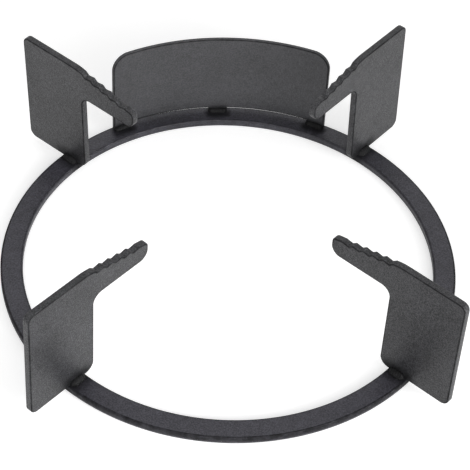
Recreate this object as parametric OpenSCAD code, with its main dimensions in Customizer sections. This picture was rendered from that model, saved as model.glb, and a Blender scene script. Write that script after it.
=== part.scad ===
// Welded steel burner stand: a flat ring that lies round a burner, four plate
// fingers that carry the pan on their notched arms, and a curved guard at the back.
// Origin: centre of the ring's underside. +Z up, the guard stands at +Y.

/* [Ring] */
// Outer diameter of the ring
ring_d = 220; // [190:1:250]
// Width of the ring, from its hole to its outer edge
ring_w = 10.7; // [9:0.1:16]
// Thickness of the ring
ring_t = 4; // [3:0.5:8]
// Radius of the ring's rounded edges
ring_edge_r = 0.8; // [0.3:0.1:1.2]

/* [Fingers] */
// Thickness of the finger plates
plate_t = 3.5; // [2:0.5:5]
// Height of a finger above the ring
finger_h = 65.5; // [60:0.5:90]
// Length of a finger outside the ring
outer_overhang = 23; // [15:1:35]
// Length of a finger's upright inside the ring's hole
inner_overhang = 5.3; // [4:0.1:10]
// Length of the arm, from the upright to the end of its nose
arm_length = 34; // [26:1:45]
// Slope of the arm's top edge, in degrees
arm_slope = 11.6; // [6:0.1:18]
// Depth of the arm at the end of its nose
nose_depth = 9.3; // [7.6:0.1:20]
// Distance from the last crest to the knee, where the top edge turns level
knee_run = 4.3; // [3.5:0.1:12]
// Corner radius at the top of the outer edge
outer_top_r = 3.5; // [1:0.5:8]
// Corner radius at the foot of the outer edge
outer_foot_r = 4; // [1:0.5:8]
// Corner radius at the foot of the inner edge
inner_foot_r = 5; // [1:0.5:8]
// Radius of the hollow corner under the arm
armpit_r = 5; // [1:0.5:8]
// Radius of the knee in the top edge
knee_r = 20; // [5:1:30]
// Radius on top of the nose
nose_top_r = 2.5; // [1:0.1:3]
// Radius below the nose
nose_under_r = 5; // [2:0.1:5]

/* [Notches] */
// Number of notches in an arm's top edge
notch_count = 5; // [1:1:5]
// Distance from one notch to the next
notch_pitch = 5.5; // [4.6:0.1:8]
// Depth of a notch below the line of the crests
notch_depth = 1.3; // [0.5:0.1:1.6]
// Length of a notch's long side
notch_run = 3.5; // [2.4:0.1:4]
// Distance from the end of the nose to the first crest
notch_start = 5.8; // [4:0.1:12]
// Radius at the bottom of a notch
notch_root_r = 0.6; // [0.2:0.1:0.7]
// Radius on the crests
notch_crest_r = 0.3; // [0.1:0.1:0.4]

/* [Places of the fingers] */
// Azimuth of the front left finger, anticlockwise from +X
front_left_az = 224; // [220:0.5:230]
// Azimuth of the front right finger
front_right_az = 314.5; // [310:0.5:320]
// Azimuth of the back left finger
back_left_az = 135.5; // [132:0.5:140]
// Azimuth of the back right finger
back_right_az = 45.5; // [40:0.5:48]
// Lean of the front left finger, its top anticlockwise, as its weld has left it
front_left_lean = 1.5; // [-3:0.5:3]
// Lean of the front right finger
front_right_lean = 0.5; // [-3:0.5:3]
// Lean of the back left finger
back_left_lean = 1.5; // [-3:0.5:3]
// Lean of the back right finger
back_right_lean = 1.5; // [-3:0.5:3]

/* [Guard] */
// Thickness of the guard's sheet
guard_t = 2; // [1:0.5:3]
// Height of the guard above the ring
guard_h = 48; // [30:1:60]
// Angle that the guard spans round the ring
guard_span = 61; // [45:0.5:80]
// Azimuth of the guard's middle
guard_az = 89.2; // [88:0.1:92]
// Distance from the ring's rounded outer edge to the guard's outer face
guard_inset = 0.1; // [0:0.1:2]
// Corner radius at the top of the guard
guard_corner_r = 9; // [3:1:20]
// Height of the gap between the ring and the guard's lower edge
guard_gap = 2; // [1.5:0.1:8]
// Width of each of the guard's feet
foot_w = 10; // [6:0.5:15]

/* [Welds] */
// Leg of the weld beads beside the fingers
bead_leg = 3; // [1.5:0.5:3.5]
// Leg of the weld beads in front of the guard's feet
foot_bead_leg = 2.2; // [1:0.1:3]
// Distance from the ring's rounded edges to the ends of the beads
bead_inset = 0.2; // [0:0.1:0.8]

/* [Hidden] */
$fn = 96;

coat = "#4c4c50";
bead_coat = "#434347";

ring_r = ring_d / 2;
hole_r = ring_r - ring_w;

// Stations along a finger, measured from the stand's axis
finger_outer = ring_r + outer_overhang;
finger_inner = hole_r - inner_overhang;
nose_end = finger_inner - arm_length;
first_crest = nose_end + notch_start;
last_crest = first_crest + notch_count * notch_pitch;
knee = last_crest + knee_run;

// Heights on a finger, measured from the ring's top
crest_slope = tan(arm_slope);
nose_top = finger_h - crest_slope * (knee - nose_end);
arm_underside = nose_top - nose_depth;

guard_outer_r = ring_r - ring_edge_r - guard_inset;
guard_inner_r = guard_outer_r - guard_t;
foot_angle = foot_w / guard_outer_r * 180 / PI;

// Angle of one straight step of a rounded corner
arc_step = 7.5;

// Margin by which cutting shapes reach past what they cut
past = 1;

function crest_line(u) = nose_top + crest_slope * (u - nose_end);

// Each corner is [distance from the axis, height above the ring, radius]
function notch_corners(index) =
    let (crest = first_crest + index * notch_pitch, root = crest + notch_run)
    [[crest, crest_line(crest), notch_crest_r],
     [root, crest_line(root) - notch_depth, notch_root_r]];

finger_corners = [
    [nose_end, nose_top, nose_top_r],
    for (i = [0 : notch_count - 1], corner = notch_corners(i)) corner,
    [last_crest, crest_line(last_crest), notch_crest_r],
    [knee, finger_h, knee_r],
    [finger_outer, finger_h, outer_top_r],
    [finger_outer, 0, outer_foot_r],
    [finger_inner, 0, inner_foot_r],
    [finger_inner, arm_underside, armpit_r],
    [nose_end, arm_underside, nose_under_r]
];

// The straight steps of the arc that rounds corner b between its neighbours a and c
function corner_arc(a, b, c) =
    let (
        p = [b[0], b[1]],
        to_a = unit([a[0], a[1]] - p),
        to_c = unit([c[0], c[1]] - p),
        half = acos(to_a * to_c) / 2,
        centre = p + unit(to_a + to_c) * b[2] / sin(half),
        start = p + to_a * b[2] / tan(half) - centre,
        turn = sign(to_a[0] * to_c[1] - to_a[1] * to_c[0]) * (2 * half - 180),
        steps = max(2, ceil(abs(turn) / arc_step))
    )
    [for (k = [0 : steps]) centre + turned(start, turn * k / steps)];

function unit(v) = v / norm(v);

function turned(v, angle) = [v[0] * cos(angle) - v[1] * sin(angle), v[0] * sin(angle) + v[1] * cos(angle)];

function rounded(corners) =
    let (n = len(corners))
    [for (i = [0 : n - 1]) each corner_arc(corners[(i + n - 1) % n], corners[i], corners[(i + 1) % n])];

// A rectangle with round corners, its lower left corner at the origin
module round_rectangle(width, height, radius) {
    translate([radius, 0])
        square([width - 2 * radius, height]);
    translate([0, radius])
        square([width, height - 2 * radius]);
    for (x = [radius, width - radius], y = [radius, height - radius])
        translate([x, y])
            circle(r = radius);
}

module ring() {
    color(coat)
        rotate_extrude()
            translate([hole_r, 0])
                round_rectangle(ring_w, ring_t, ring_edge_r);
}

// Everything above the ring's top, out to well past the fingers
module above_ring() {
    translate([-2 * finger_outer, -2 * finger_outer, ring_t])
        cube([4 * finger_outer, 4 * finger_outer, 2 * finger_h]);
}

// Moves a shape that is drawn flat, with the axis at x = 0, into a finger's upright plane
module in_finger_plane(azimuth, lean) {
    sink = plate_t / 2 * abs(sin(lean));
    rotate([0, 0, azimuth])
        translate([0, 0, ring_t - sink])
            rotate([90 - lean, 0, 0])
                children();
}

// One finger: a plate whose foot is trimmed flat to seat on the ring
module finger(azimuth, lean) {
    color(coat)
        intersection() {
            in_finger_plane(azimuth, lean)
                linear_extrude(plate_t, center = true)
                    polygon(rounded(finger_corners));
            above_ring();
        }
}

// The two beads that join a finger's faces to the ring, with round ends
module finger_welds(azimuth, lean) {
    inner_end = hole_r + ring_edge_r + bead_inset + bead_leg;
    outer_end = ring_r - ring_edge_r - bead_inset - bead_leg;
    color(bead_coat)
        difference() {
            intersection() {
                in_finger_plane(azimuth, lean)
                    for (side = [-1, 1])
                        translate([0, 0, side * plate_t / 2]) {
                            translate([inner_end, 0, 0])
                                rotate([0, 90, 0])
                                    cylinder(r = bead_leg, h = outer_end - inner_end);
                            for (end = [inner_end, outer_end])
                                translate([end, 0, 0])
                                    sphere(r = bead_leg);
                        }
                above_ring();
            }
            in_finger_plane(azimuth, lean)
                translate([hole_r - past, -bead_leg - past, -plate_t / 2])
                    cube([ring_w + 2 * past, 2 * (bead_leg + past), plate_t]);
        }
}

module finger_front_left() {
    finger(front_left_az, front_left_lean);
}

module finger_front_right() {
    finger(front_right_az, front_right_lean);
}

module finger_back_left() {
    finger(back_left_az, back_left_lean);
}

module finger_back_right() {
    finger(back_right_az, back_right_lean);
}

module weld_front_left() {
    finger_welds(front_left_az, front_left_lean);
}

module weld_front_right() {
    finger_welds(front_right_az, front_right_lean);
}

module weld_back_left() {
    finger_welds(back_left_az, back_left_lean);
}

module weld_back_right() {
    finger_welds(back_right_az, back_right_lean);
}

// Part of an upright pipe round the stand's axis, from one azimuth through an angle
module pipe_part(inner, outer, low, high, from, angle) {
    rotate([0, 0, from])
        rotate_extrude(angle = angle)
            translate([inner, low])
                square([outer - inner, high - low]);
}

// What a round corner takes off the guard's top, at one of its side edges
module guard_corner(side) {
    corner_angle = guard_corner_r / guard_outer_r * 180 / PI;
    arc = [for (angle = [arc_step : arc_step : 90 - arc_step]) guard_corner_r * [cos(angle), sin(angle)]];
    // The arc's first and last steps run on past the guard's edges
    below = 2 * [guard_corner_r, 0] - arc[0];
    above = 2 * [0, guard_corner_r] - arc[len(arc) - 1];
    outside = 2 * guard_corner_r * [[0, 1], [1, 1], [1, 0]];
    rotate([0, 0, guard_az + side * (guard_span / 2 - corner_angle)])
        translate([guard_inner_r - guard_corner_r, 0, ring_t + guard_h - guard_corner_r])
            rotate([90, 0, 90])
                linear_extrude(guard_t + 2 * guard_corner_r)
                    mirror([side > 0 ? 0 : 1, 0])
                        polygon(concat([below], arc, [above], outside));
}

// One foot stands in the middle of the guard and one at each of its side edges
module guard() {
    gap_angle = (guard_span - 3 * foot_angle) / 2;
    color(coat)
        difference() {
            pipe_part(guard_inner_r, guard_outer_r, ring_t, ring_t + guard_h, guard_az - guard_span / 2, guard_span);
            for (side = [-1, 1]) {
                guard_corner(side);
                pipe_part(guard_inner_r - past, guard_outer_r + past, ring_t - past, ring_t + guard_gap,
                          guard_az + side * (foot_angle + gap_angle) / 2 - gap_angle / 2, gap_angle);
            }
        }
}

// The bead of a foot at azimuth 0: a quarter of a round-ended rod along the foot's inner corners
module foot_weld() {
    half = foot_w / 2 - foot_bead_leg;
    translate([guard_inner_r * cos(foot_angle / 2), 0, ring_t])
        intersection() {
            union() {
                translate([0, half, 0])
                    rotate([90, 0, 0])
                        cylinder(r = foot_bead_leg, h = 2 * half);
                for (end = [-half, half])
                    translate([0, end, 0])
                        sphere(r = foot_bead_leg);
            }
            translate([-foot_w, -foot_w, 0])
                cube([foot_w, 2 * foot_w, foot_w]);
        }
}

module guard_welds() {
    color(bead_coat)
        for (place = [-1, 0, 1])
            rotate([0, 0, guard_az + place * (guard_span - foot_angle) / 2])
                foot_weld();
}

ring();
finger_front_left();
finger_front_right();
finger_back_left();
finger_back_right();
guard();
weld_front_left();
weld_front_right();
weld_back_left();
weld_back_right();
guard_welds();
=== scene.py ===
"""The looks of the welded burner stand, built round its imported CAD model. Lengths are in metres."""
import math

import bmesh
import bpy
from mathutils import Matrix, Vector


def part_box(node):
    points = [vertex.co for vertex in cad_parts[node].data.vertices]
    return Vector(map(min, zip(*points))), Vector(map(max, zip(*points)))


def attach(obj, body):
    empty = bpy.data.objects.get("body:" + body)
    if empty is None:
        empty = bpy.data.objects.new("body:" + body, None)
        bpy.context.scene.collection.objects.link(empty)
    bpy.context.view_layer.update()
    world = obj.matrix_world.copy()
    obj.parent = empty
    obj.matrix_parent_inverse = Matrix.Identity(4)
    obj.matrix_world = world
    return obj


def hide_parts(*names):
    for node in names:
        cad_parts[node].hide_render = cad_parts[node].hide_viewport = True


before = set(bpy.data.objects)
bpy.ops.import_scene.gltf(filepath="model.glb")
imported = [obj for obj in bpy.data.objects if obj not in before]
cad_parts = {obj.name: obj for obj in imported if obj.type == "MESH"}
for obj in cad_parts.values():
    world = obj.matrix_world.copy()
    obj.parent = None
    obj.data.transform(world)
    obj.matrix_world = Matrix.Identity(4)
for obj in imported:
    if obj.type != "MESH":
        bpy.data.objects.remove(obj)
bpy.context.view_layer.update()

MM = 0.001

# Sizes that the part's source gives, repeated here because each piece stands for a node
RING_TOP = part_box("ring")[1].z
RING_R = min(*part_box("ring")[1].xy, *(-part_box("ring")[0].xy))
RING_W = 10.7 * MM
RING_EDGE_R = 0.8 * MM
HOLE_R = RING_R - RING_W
PLATE_T = 3.5 * MM
FINGER_H = 65.5 * MM
FINGER_OUTER = 133 * MM
FINGER_INNER = HOLE_R - 5.3 * MM
NOSE_END = FINGER_INNER - 34 * MM
ARM_SLOPE = math.tan(math.radians(11.6))
NOSE_DEPTH = 9.3 * MM
NOTCH_COUNT = 5
NOTCH_PITCH = 5.5 * MM
NOTCH_RUN = 3.5 * MM
NOTCH_DEPTH = 1.3 * MM
FIRST_CREST = NOSE_END + 5.8 * MM
LAST_CREST = FIRST_CREST + NOTCH_COUNT * NOTCH_PITCH
KNEE = LAST_CREST + 4.3 * MM
GUARD_OUTER_R = 109.1 * MM
GUARD_T = 2 * MM
GUARD_H = 48 * MM
GUARD_SPAN = 61
GUARD_AZ = 89.2
GUARD_CORNER_R = 9 * MM
GUARD_GAP = 2 * MM
FOOT_W = 10 * MM
BEAD_LEG = 3 * MM
FOOT_BEAD_LEG = 2.2 * MM
BEAD_INSET = 1 * MM

# Name, azimuth and lean of each finger, in degrees
FINGERS = [
    ("front_left", 224, 1.5),
    ("front_right", 314.5, 0.5),
    ("back_left", 135.5, 1.5),
    ("back_right", 45.5, 1.5),
]

# Corner radii of the fingers' outline
NOSE_TOP_R = 2.5 * MM
CREST_R = 0.3 * MM
ROOT_R = 0.6 * MM
KNEE_R = 20 * MM
OUTER_TOP_R = 3.5 * MM
OUTER_FOOT_R = 4 * MM
INNER_R = 5 * MM

# A corner that is left all but sharp, the least radius of any corner, and the step of an arc
SHARP_R = 0.1 * MM
LEAST_R = 0.02 * MM
ARC_STEP = math.radians(6)

# How far the coating rounds the cut edges of the plates
PLATE_EDGE_R = 0.6 * MM
GUARD_EDGE_R = 0.5 * MM

# Painted shade along a plate's rounded edge, in place of the dark reflection of such an edge: how dark it is
# from its broad face to its cut face, and how far that fades out over the broad face
CREASE_SHADE = (0.8, 1.0, 1.0, 0.8, 0.4, 0.1, 0.0)
CREASE_SHADE_REACH = 0.5 * MM

# How dark the painted shade is on the ring's rounded edges: outer top, inner top, inner foot and outer foot
RING_CREASE_SHADES = (0.9, 0.5, 0.3, 0.1)

# Shares of the way along each side of the ring's section, and how dark the painted shade is there. The sides
# are the top, the inner wall, the underside and the outer wall, whose painted shade is dark but for its foot.
RING_SHARES = (0.05, 0.35, 0.65, 0.95)
RING_SIDE_SHADES = ((0.0,) * 4, (0.3,) * 4, (0.0,) * 4, (0.0, 0.75, 0.85, 0.9))
RING_STEPS = 360
RING_EDGE_STEPS = 6

# How far from a weld's middle line the steel is burnt dark, with painted contact shade where the parts meet,
# and where that fades out
SOOT_AND_SHADE_CORE = 2.5 * MM
SOOT_AND_SHADE_REACH = 11 * MM
FOOT_SOOT_AND_SHADE_REACH = 5.5 * MM
WELD_LINE_INSET = 2 * MM

# The grid of vertices that carries the burnt shade and the painted contact shade on the plates
SOOT_AND_SHADE_CUT = 1.5 * MM
FOOT_CUT = 1 * MM
FOOT_CUT_TOP = 7 * MM

# A bead's mesh, its ripples, the two slower waves in its width, and the fit that keeps it inside its solid
BEAD_STATIONS = 64
BEAD_ARC = 10
RIPPLE_PITCH = 1.15 * MM
RIPPLE_LAG = 0.35 * MM
RIPPLE_WAVE = 1.7 * MM
WIDTH_WAVE = 2.3 * MM
BEAD_HOLLOW = 0.12
BEAD_FIT = 0.99

# Noise scales of the coating, in cycles per metre, and each one's share in its tone
BROAD, CLOUD, GRAIN, PORE, FINE = 45, 260, 1300, 1700, 4200
BROAD_SHARE, CLOUD_SHARE, GRAIN_SHARE = 0.15, 0.2, 0.65
MATTE_BLACK = "#101011"

# The studio: what the world gives as light, the white that is seen of it, and the floor's own glow
WORLD_LIGHT = 0.6
WORLD_SEEN = 1.0
FLOOR_COLOUR = 0.8
FLOOR_GLOW = 0.47
FLOOR_HALF = 6.0
FLOOR_DROP = 0.05 * MM

# Name, place, target, size, power in watts and spread in degrees of each softbox
SOFTBOXES = [
    ("right", (2.0, -2.2, 1.2), (0, 0, 0.03), 2.0, 34, 180),
    ("front", (-0.2, -2.9, 1.2), (0, 0, 0.03), 2.0, 38, 180),
    ("key", (0.8, -0.8, 0.4), (-0.12, -0.12, 0.03), 0.4, 0.4, 30),
]

# The photograph's own place and angle, solved from the ring's and the fingers' outlines
CAMERA_PLACE = Vector((-64.8, -598.7, 635.5)) * MM
CAMERA_YAW = math.radians(6.40)
CAMERA_PITCH = math.radians(45.62)
CAMERA_ROLL = math.radians(3.21)
CAMERA_SENSOR = 36
CAMERA_LENS = 137.97


def polar(angle):
    """Unit vectors outwards and sideways at an angle in radians."""
    return Vector((math.cos(angle), math.sin(angle), 0)), Vector((-math.sin(angle), math.cos(angle), 0))


def foot_angles():
    """The angles of the guard's three feet, in radians."""
    foot_angle = math.degrees(FOOT_W / GUARD_OUTER_R)
    return [math.radians(GUARD_AZ + place * (GUARD_SPAN - foot_angle) / 2) for place in (-1, 0, 1)]


def finger_corners():
    """Corners of a finger's outline, as distance off the axis, height above the ring and radius."""
    nose_top = FINGER_H - ARM_SLOPE * (KNEE - NOSE_END)
    underside = nose_top - NOSE_DEPTH

    def crest_line(u):
        return nose_top + ARM_SLOPE * (u - NOSE_END)

    corners = [(NOSE_END, nose_top, NOSE_TOP_R)]
    for i in range(NOTCH_COUNT):
        crest = FIRST_CREST + i * NOTCH_PITCH
        root = crest + NOTCH_RUN
        corners.append((crest, crest_line(crest), CREST_R))
        corners.append((root, crest_line(root) - NOTCH_DEPTH, ROOT_R))
    corners.append((LAST_CREST, crest_line(LAST_CREST), CREST_R))
    corners.append((KNEE, FINGER_H, KNEE_R))
    corners.append((FINGER_OUTER, FINGER_H, OUTER_TOP_R))
    corners.append((FINGER_OUTER, 0, OUTER_FOOT_R))
    corners.append((FINGER_INNER, 0, INNER_R))
    corners.append((FINGER_INNER, underside, INNER_R))
    corners.append((NOSE_END, underside, INNER_R))
    return corners


def guard_corners():
    """Corners of the guard's outline laid flat, as length, height above the ring and radius."""
    half = GUARD_OUTER_R * math.radians(GUARD_SPAN / 2)
    inner = half - FOOT_W
    middle = FOOT_W / 2
    return [
        (-half, GUARD_H, GUARD_CORNER_R),
        (half, GUARD_H, GUARD_CORNER_R),
        (half, 0, SHARP_R),
        (inner, 0, SHARP_R),
        (inner, GUARD_GAP, SHARP_R),
        (middle, GUARD_GAP, SHARP_R),
        (middle, 0, SHARP_R),
        (-middle, 0, SHARP_R),
        (-middle, GUARD_GAP, SHARP_R),
        (-inner, GUARD_GAP, SHARP_R),
        (-inner, 0, SHARP_R),
        (-half, 0, SHARP_R),
    ]


def outline(corners, inset):
    """The rounded outline of a clockwise corner list, moved inwards by inset."""
    points = []
    count = len(corners)
    for i in range(count):
        a = Vector(corners[i - 1][:2])
        b = Vector(corners[i][:2])
        c = Vector(corners[(i + 1) % count][:2])
        d1 = (b - a).normalized()
        d2 = (c - b).normalized()
        n1 = Vector((d1.y, -d1.x))
        n2 = Vector((d2.y, -d2.x))
        corner = b + (n1 + n2) * inset / (1 + n1.dot(n2))
        turn = math.atan2(d1.cross(d2), d1.dot(d2))
        side = math.copysign(1, turn)
        radius = max(corners[i][2] + side * inset, LEAST_R)
        arm = n1 * radius * side
        centre = corner - d1 * radius * math.tan(abs(turn) / 2) - arm
        steps = max(2, math.ceil(abs(turn) / ARC_STEP))
        for k in range(steps + 1):
            angle = turn * k / steps
            points.append(centre + Vector((
                arm.x * math.cos(angle) - arm.y * math.sin(angle),
                arm.x * math.sin(angle) + arm.y * math.cos(angle))))
    return points


def edge_profile(thickness, radius):
    """Inset, height and darkness of the painted crease shade across a plate with rounded edges, from face to
    face.
    """
    half = thickness / 2
    steps = len(CREASE_SHADE) - 1
    side = [(radius + CREASE_SHADE_REACH, half, 0), (radius + CREASE_SHADE_REACH / 2, half, 0.5)]
    for k, crease in enumerate(CREASE_SHADE):
        a = math.pi / 2 * k / steps
        side.append((radius * (1 - math.sin(a)), half - radius * (1 - math.cos(a)), crease))
    return side + [(inset, -height, crease) for inset, height, crease in reversed(side)]


def plate_mesh(corners, thickness, radius):
    """A flat plate, its outline in x and y and its thickness in z."""
    bm = bmesh.new()
    edge = bm.verts.layers.float.new("edge")
    rows = []
    for inset, height, crease in edge_profile(thickness, radius):
        rows.append([bm.verts.new((p.x, p.y, height)) for p in outline(corners, inset)])
        for v in rows[-1]:
            v[edge] = crease
    for low, high in zip(rows, rows[1:]):
        for k in range(len(low)):
            bm.faces.new((low[k - 1], low[k], high[k], high[k - 1]))
    bm.faces.new(list(reversed(rows[0])))
    bm.faces.new(rows[-1])
    bmesh.ops.recalc_face_normals(bm, faces=bm.faces)
    return bm


def slice_up(bm, axis, first, last, pitch):
    """Cuts a plate's faces across one axis, so that its shade can change from place to place."""
    normal = [0, 0, 0]
    normal[axis] = 1
    for k in range(math.floor((last - first) / pitch) + 1):
        place = [0, 0, 0]
        place[axis] = first + k * pitch
        geom = bm.verts[:] + bm.edges[:] + bm.faces[:]
        bmesh.ops.bisect_plane(bm, geom=geom, dist=1e-7, plane_co=place, plane_no=normal)


def weld_lines():
    """The two ends of each weld's middle line, on the ring's top, and how far its heat tint and painted
    contact shade reach.
    """
    lines = []
    for _, azimuth, _ in FINGERS:
        radial, _ = polar(math.radians(azimuth))
        lines.append((radial * (HOLE_R + WELD_LINE_INSET), radial * (RING_R - WELD_LINE_INSET), SOOT_AND_SHADE_REACH))
    for angle in foot_angles():
        radial, sideways = polar(angle)
        middle = radial * (GUARD_OUTER_R - GUARD_T - WELD_LINE_INSET)
        along = sideways * (FOOT_W / 2 - WELD_LINE_INSET)
        lines.append((middle - along, middle + along, FOOT_SOOT_AND_SHADE_REACH))
    top = Vector((0, 0, RING_TOP))
    return [(a + top, b + top, reach) for a, b, reach in lines]


def mark_soot_and_contact_shade(mesh):
    """Marks how dark each place of a piece is, burnt by the heat of the welds near it and painted with
    contact shade where the parts meet.
    """
    lines = weld_lines()
    data = mesh.attributes.new("soot_and_contact_shade", "FLOAT", "POINT").data
    for v in mesh.vertices:
        most = 0.0
        for a, b, reach in lines:
            along = b - a
            place = min(1.0, max(0.0, (v.co - a).dot(along) / along.length_squared))
            share = (reach - (v.co - a - along * place).length) / (reach - SOOT_AND_SHADE_CORE)
            most = max(most, min(1.0, share))
        data[v.index].value = most * most * (3 - 2 * most)


def new_piece(bm, name, material, node):
    """Turns a bmesh into a piece that stands for a CAD node."""
    mesh = bpy.data.meshes.new(name)
    bmesh.ops.recalc_face_normals(bm, faces=bm.faces)
    bm.to_mesh(mesh)
    bm.free()
    for face in mesh.polygons:
        face.use_smooth = True
    mesh.materials.append(material)
    obj = bpy.data.objects.new(name, mesh)
    bpy.context.scene.collection.objects.link(obj)
    mark_soot_and_contact_shade(mesh)
    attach(obj, "root")
    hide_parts(node)


def finger_frame(azimuth, lean):
    """Radial, sideways and leaning-up unit vectors of a finger."""
    radial, sideways = polar(math.radians(azimuth))
    t = math.radians(lean)
    return radial, sideways, sideways * math.sin(t) + Vector((0, 0, math.cos(t)))


def finger_piece(name, azimuth, lean, material):
    bm = plate_mesh(finger_corners(), PLATE_T, PLATE_EDGE_R)
    slice_up(bm, 0, FINGER_INNER - 4 * SOOT_AND_SHADE_CUT, FINGER_OUTER, SOOT_AND_SHADE_CUT)
    slice_up(bm, 1, SOOT_AND_SHADE_CUT, SOOT_AND_SHADE_REACH + BEAD_LEG, SOOT_AND_SHADE_CUT)
    radial, _, up = finger_frame(azimuth, lean)
    normal = radial.cross(up)
    for v in bm.verts:
        u, z, w = v.co
        v.co = radial * u + up * z + normal * w + Vector((0, 0, RING_TOP))
    new_piece(bm, "finger_plate_" + name, material, "finger_" + name)


def guard_piece(material):
    bm = plate_mesh(guard_corners(), GUARD_T, GUARD_EDGE_R)
    length = GUARD_OUTER_R * math.radians(GUARD_SPAN)
    slice_up(bm, 0, FOOT_CUT - length / 2, length / 2, SOOT_AND_SHADE_CUT)
    slice_up(bm, 1, FOOT_CUT, FOOT_CUT_TOP, FOOT_CUT)
    mid_r = GUARD_OUTER_R - GUARD_T / 2
    for v in bm.verts:
        outwards, _ = polar(math.radians(GUARD_AZ) - v.co.x / GUARD_OUTER_R)
        v.co = outwards * (mid_r + v.co.z) + Vector((0, 0, RING_TOP + v.co.y))
    new_piece(bm, "guard_plate", material, "guard")


def ring_profile():
    """Radius, height and darkness of the painted shade round the ring's section, with rounded corners."""
    high = RING_TOP - RING_EDGE_R
    outer = RING_R - RING_EDGE_R
    inner = HOLE_R + RING_EDGE_R
    corners = [(outer, high), (inner, high), (inner, RING_EDGE_R), (outer, RING_EDGE_R)]
    lengths = [RING_W - 2 * RING_EDGE_R, RING_TOP - 2 * RING_EDGE_R] * 2
    profile = []
    for i, (r, z) in enumerate(corners):
        for k in range(RING_EDGE_STEPS + 1):
            a = math.pi / 2 * (i + k / RING_EDGE_STEPS)
            profile.append((r + RING_EDGE_R * math.cos(a), z + RING_EDGE_R * math.sin(a), RING_CREASE_SHADES[i]))
        onwards, _ = polar(math.pi / 2 * (i + 2))
        start_r, start_z, _ = profile[-1]
        for share, mark in zip(RING_SHARES, RING_SIDE_SHADES[i]):
            way = onwards * lengths[i] * share
            profile.append((start_r + way.x, start_z + way.y, mark))
    return profile


def ring_piece(material):
    bm = bmesh.new()
    edge = bm.verts.layers.float.new("edge")
    profile = ring_profile()
    rows = []
    for k in range(RING_STEPS):
        outwards, _ = polar(2 * math.pi * k / RING_STEPS)
        row = []
        for r, z, mark in profile:
            row.append(bm.verts.new(outwards * r + Vector((0, 0, z))))
            row[-1][edge] = mark
        rows.append(row)
    for k in range(RING_STEPS):
        low, high = rows[k - 1], rows[k]
        for j in range(len(profile)):
            bm.faces.new((low[j - 1], low[j], high[j], high[j - 1]))
    new_piece(bm, "ring_plate", material, "ring")


def bead(bm, start, end, out, up, leg, seed):
    """One rippled weld bead in the corner between a plate and the ring, with round ends."""
    along = end - start
    length = along.length
    rows = []
    for k in range(BEAD_STATIONS + 1):
        s = length * k / BEAD_STATIONS
        near = min(s, length - s)
        cap = math.sqrt(max(0.0, 1 - (1 - min(1.0, near / leg)) ** 2))
        ripple = 0.5 + 0.5 * math.cos(2 * math.pi * s / RIPPLE_PITCH + 0.7 * math.sin(s / RIPPLE_WAVE + seed))
        width = 0.9 + 0.07 * ripple + 0.03 * math.sin(s / WIDTH_WAVE + 2 * seed)
        size = leg * (0.03 + 0.97 * cap) * width
        middle = start + along * (s / length)
        row = [bm.verts.new(middle)]
        for j in range(BEAD_ARC + 1):
            a = math.pi / 2 * j / BEAD_ARC
            bulge = math.sin(2 * a)
            lag = along.normalized() * (RIPPLE_LAG * bulge * cap)
            reach = size * (1 - BEAD_HOLLOW * bulge)
            row.append(bm.verts.new(middle + lag + out * (reach * math.cos(a)) + up * (reach * math.sin(a))))
        rows.append(row)
    for low, high in zip(rows, rows[1:]):
        for j in range(len(low)):
            bm.faces.new((low[j - 1], low[j], high[j], high[j - 1]))
    bm.faces.new(rows[0])
    bm.faces.new(list(reversed(rows[-1])))


def finger_weld_piece(name, azimuth, lean, material):
    bm = bmesh.new()
    bm.verts.layers.float.new("edge")
    radial, sideways, up = finger_frame(azimuth, lean)
    for side in (-1, 1):
        foot = sideways * (side * PLATE_T / 2) + Vector((0, 0, RING_TOP))
        start = radial * (HOLE_R + BEAD_INSET) + foot
        end = radial * (HOLE_R + RING_W - BEAD_INSET) + foot
        bead(bm, start, end, sideways * side, up, BEAD_LEG * BEAD_FIT, azimuth + side)
    new_piece(bm, "weld_beads_" + name, material, "weld_" + name)


def guard_weld_piece(material):
    bm = bmesh.new()
    bm.verts.layers.float.new("edge")
    inner_r = (GUARD_OUTER_R - GUARD_T) * math.cos(FOOT_W / GUARD_OUTER_R / 2)
    for angle in foot_angles():
        radial, sideways = polar(angle)
        middle = radial * inner_r + Vector((0, 0, RING_TOP))
        half = sideways * FOOT_W / 2
        bead(bm, middle - half, middle + half, -radial, Vector((0, 0, 1)), FOOT_BEAD_LEG * BEAD_FIT, angle)
    new_piece(bm, "guard_weld_beads", material, "guard_welds")


def linear(hex_colour):
    """A written colour as Blender's linear RGBA."""
    parts = [int(hex_colour[i:i + 2], 16) / 255 for i in (1, 3, 5)]
    return [c / 12.92 if c <= 0.04045 else ((c + 0.055) / 1.055) ** 2.4 for c in parts] + [1]


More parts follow.
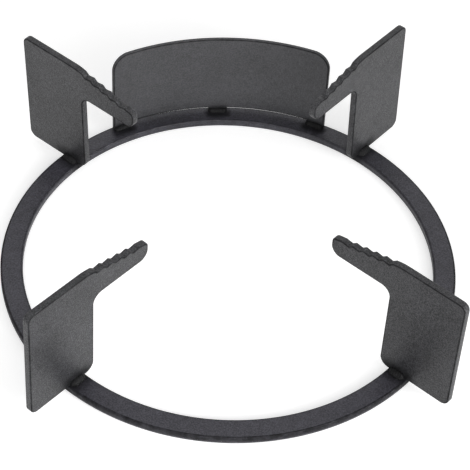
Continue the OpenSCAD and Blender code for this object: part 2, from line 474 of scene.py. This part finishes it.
class Nodes:
    """Short calls for building a node tree."""

    def __init__(self, tree):
        self.tree = tree
        tree.nodes.clear()

    def add(self, kind, **values):
        node = self.tree.nodes.new(kind)
        for key, value in values.items():
            setattr(node, key, value)
        return node

    def link(self, a, b):
        self.tree.links.new(a, b)

    def attribute(self, name):
        return self.add("ShaderNodeAttribute", attribute_name=name).outputs["Fac"]

    def noise(self, vector, scale, detail, roughness):
        node = self.add("ShaderNodeTexNoise")
        node.inputs["Scale"].default_value = scale
        node.inputs["Detail"].default_value = detail
        node.inputs["Roughness"].default_value = roughness
        self.link(vector, node.inputs["Vector"])
        return node.outputs["Fac"]

    def span(self, value, low, high, to_low, to_high):
        node = self.add("ShaderNodeMapRange")
        for key, number in zip(("From Min", "From Max", "To Min", "To Max"), (low, high, to_low, to_high)):
            node.inputs[key].default_value = number
        self.link(value, node.inputs["Value"])
        return node.outputs["Result"]

    def maths(self, operation, a, b):
        node = self.add("ShaderNodeMath", operation=operation)
        for socket, value in zip(node.inputs, (a, b)):
            if isinstance(value, (int, float)):
                socket.default_value = value
            else:
                self.link(value, socket)
        return node.outputs[0]

    def mix(self, factor, a, b):
        node = self.add("ShaderNodeMix", data_type="RGBA")
        self.link(factor, node.inputs["Factor"])
        node.inputs[6].default_value = a
        node.inputs[7].default_value = b
        return node.outputs[2]

    def bump(self, height, strength, distance, normal=None):
        node = self.add("ShaderNodeBump")
        node.inputs["Strength"].default_value = strength
        node.inputs["Distance"].default_value = distance
        self.link(height, node.inputs["Height"])
        if normal is not None:
            self.link(normal, node.inputs["Normal"])
        return node.outputs["Normal"]

    def principled(self, specular):
        node = self.add("ShaderNodeBsdfPrincipled")
        node.inputs["Metallic"].default_value = 0.0
        node.inputs["Specular IOR Level"].default_value = specular
        return node

    def surface(self, kind, a, b, factor=None):
        """Joins two shaders by adding or mixing them, and makes the result the material's surface."""
        both = self.add(kind)
        parts = (a, b) if factor is None else (factor, a, b)
        for socket, value in zip(both.inputs, parts):
            self.link(value, socket)
        out = self.add("ShaderNodeOutputMaterial")
        self.link(both.outputs[0], out.inputs["Surface"])


def new_material(name):
    material = bpy.data.materials.new(name)
    material.use_nodes = True
    return material, Nodes(material.node_tree)


def coated_metal(name, dark, light, roughness, specular, pores):
    """A satin heat-resistant coating, finely grained, with matte black in its pores, as painted shade in its
    creases, and on its burnt places, which also carry painted contact shade."""
    material, n = new_material(name)
    place = n.add("ShaderNodeTexCoord").outputs["Object"]
    broad = n.noise(place, BROAD, 3, 0.5)
    cloud = n.noise(place, CLOUD, 5, 0.6)
    grain = n.noise(place, GRAIN, 4, 0.6)
    fine = n.noise(place, FINE, 2, 0.5)
    tone = n.maths("ADD", n.maths("MULTIPLY", broad, BROAD_SHARE), n.maths("MULTIPLY", cloud, CLOUD_SHARE))
    tone = n.maths("ADD", tone, n.maths("MULTIPLY", grain, GRAIN_SHARE))

    normal = n.bump(cloud, 0.25, 0.12 * MM)
    normal = n.bump(grain, 0.8, 0.25 * MM, normal)
    normal = n.bump(fine, 0.5, 0.06 * MM, normal)

    satin = n.principled(specular)
    n.link(n.mix(n.span(tone, 0.42, 0.58, 0, 1), linear(dark), linear(light)), satin.inputs["Base Color"])
    n.link(n.span(grain, 0.3, 0.7, roughness - 0.06, roughness + 0.06), satin.inputs["Roughness"])
    n.link(normal, satin.inputs["Normal"])

    matte = n.principled(0.1)
    matte.inputs["Base Color"].default_value = linear(MATTE_BLACK)
    matte.inputs["Roughness"].default_value = 0.8
    n.link(normal, matte.inputs["Normal"])

    # Painted shade: matte black along the rounded edges and on the ring's sides
    painted_crease_shade = n.maths("MULTIPLY", n.attribute("edge"), n.span(cloud, 0.35, 0.65, 1.0, 0.7))
    # Heat tint of the welds, with painted contact shade where the parts meet, also turns the coating matte
    # black
    burnt_and_shaded = n.maths("MULTIPLY", n.attribute("soot_and_contact_shade"), n.span(cloud, 0.3, 0.7, 0.95, 0.75))
    porous = n.span(n.noise(place, PORE, 2, 0.6), 0.38, 0.62, pores, 0)
    black = n.maths("MAXIMUM", n.maths("MAXIMUM", painted_crease_shade, burnt_and_shaded), porous)
    n.surface("ShaderNodeMixShader", satin.outputs[0], matte.outputs[0], black)
    return material


def seen_mask(n):
    """One for camera, glossy and transmission rays, zero for the rays that light the object."""
    path = n.add("ShaderNodeLightPath").outputs
    return n.maths("MAXIMUM", n.maths("MAXIMUM", path["Is Camera Ray"], path["Is Glossy Ray"]),
                   path["Is Transmission Ray"])


def floor():
    """A plain pale floor just below the stand, which glows only for the rays that see it."""
    corners = [(x * FLOOR_HALF, y * FLOOR_HALF, 0) for x, y in ((-1, -1), (1, -1), (1, 1), (-1, 1))]
    mesh = bpy.data.meshes.new("floor")
    mesh.from_pydata(corners, [], [(0, 1, 2, 3)])
    obj = bpy.data.objects.new("floor", mesh)
    obj.location.z = -FLOOR_DROP
    bpy.context.scene.collection.objects.link(obj)
    material, n = new_material("pale_floor")
    diffuse = n.add("ShaderNodeBsdfDiffuse")
    diffuse.inputs["Color"].default_value = (FLOOR_COLOUR, FLOOR_COLOUR, FLOOR_COLOUR, 1)
    glow = n.add("ShaderNodeEmission")
    glow.inputs["Color"].default_value = (1, 1, 1, 1)
    n.link(n.maths("MULTIPLY", seen_mask(n), FLOOR_GLOW), glow.inputs["Strength"])
    n.surface("ShaderNodeAddShader", diffuse.outputs[0], glow.outputs[0])
    mesh.materials.append(material)


def sky():
    """A white world, which lights the object a little less than it is seen."""
    world = bpy.data.worlds.new("studio")
    bpy.context.scene.world = world
    world.use_nodes = True
    n = Nodes(world.node_tree)
    back = n.add("ShaderNodeBackground")
    back.inputs["Color"].default_value = (1, 1, 1, 1)
    n.link(n.span(seen_mask(n), 0, 1, WORLD_LIGHT, WORLD_SEEN), back.inputs["Strength"])
    out = n.add("ShaderNodeOutputWorld")
    n.link(back.outputs[0], out.inputs["Surface"])


def softbox(name, place, target, size, power, spread):
    data = bpy.data.lights.new(name, "AREA")
    data.spread = math.radians(spread)
    data.shape = "SQUARE"
    data.size = size
    data.energy = power
    obj = bpy.data.objects.new(name, data)
    obj.location = place
    obj.rotation_euler = (Vector(target) - Vector(place)).to_track_quat("-Z", "Y").to_euler()
    bpy.context.scene.collection.objects.link(obj)


def camera():
    level = Vector((math.cos(CAMERA_YAW), -math.sin(CAMERA_YAW), 0))
    ahead = Vector((math.sin(CAMERA_YAW), math.cos(CAMERA_YAW), 0))
    forward = ahead * math.cos(CAMERA_PITCH) - Vector((0, 0, math.sin(CAMERA_PITCH)))
    rise = level.cross(forward)
    right = level * math.cos(CAMERA_ROLL) + rise * math.sin(CAMERA_ROLL)
    up = rise * math.cos(CAMERA_ROLL) - level * math.sin(CAMERA_ROLL)
    data = bpy.data.cameras.new("camera")
    data.sensor_width = CAMERA_SENSOR
    data.lens = CAMERA_LENS
    data.clip_start, data.clip_end = 0.01, 50
    obj = bpy.data.objects.new("camera", data)
    matrix = Matrix((right, up, -forward)).transposed().to_4x4()
    matrix.translation = CAMERA_PLACE
    obj.matrix_world = matrix
    bpy.context.scene.collection.objects.link(obj)
    bpy.context.scene.camera = obj


# Name, dark and light tone, roughness, specular level and how black the pores are
steel = coated_metal("satin_coating", "#1e1e20", "#434346", 0.36, 0.42, 0.45)
ring_steel = coated_metal("ring_coating", "#2b2a30", "#45444c", 0.38, 0.45, 0.3)
guard_steel = coated_metal("guard_coating", "#373739", "#48484b", 0.45, 0.42, 0.22)
beads = coated_metal("coated_bead", "#0b0b0c", "#1c1c1e", 0.35, 0.4, 0.95)

ring_piece(ring_steel)
guard_piece(guard_steel)
for finger, azimuth, lean in FINGERS:
    finger_piece(finger, azimuth, lean, steel)
    finger_weld_piece(finger, azimuth, lean, beads)
guard_weld_piece(beads)

floor()
sky()
for box in SOFTBOXES:
    softbox(*box)
camera()
bpy.context.scene.view_settings.view_transform = "Standard"
